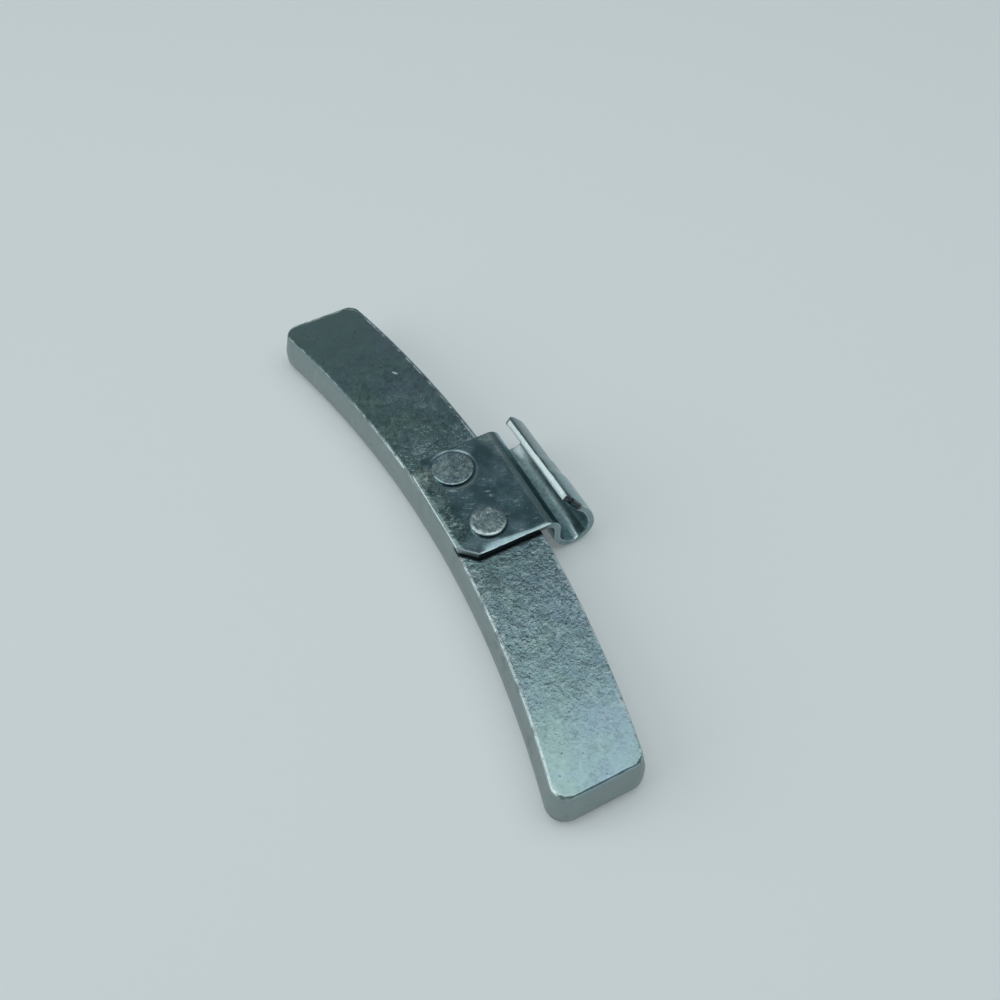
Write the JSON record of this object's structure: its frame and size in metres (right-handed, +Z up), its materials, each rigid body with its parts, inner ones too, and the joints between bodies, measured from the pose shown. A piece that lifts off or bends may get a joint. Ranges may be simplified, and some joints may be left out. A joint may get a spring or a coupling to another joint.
{
  "type": "wheel balance weight",
  "caption": "Curved flat steel bar with a folded spring clip headed onto its back. The clip's hook grips the flange of a car wheel's rim so that the bar balances the wheel.",
  "frame": {"origin": "on the front face that the weight lies on, at the middle of the bar's length and width", "axes": "+X along the bar, +Y out from the wheel's centre towards the rim flange, +Z up from the front face to the clip"},
  "size_m": [0.088, 0.0258, 0.0094],
  "materials": {
    "plated_bar": "bright zinc plating over rough rolled steel, mottled",
    "plated_clip": "bright zinc plating over smooth spring steel, lightly scratched"
  },
  "bodies": {
    "root": {"weight_bar": "plated_bar", "spring_clip": "plated_clip"}
  },
  "joints": []
}
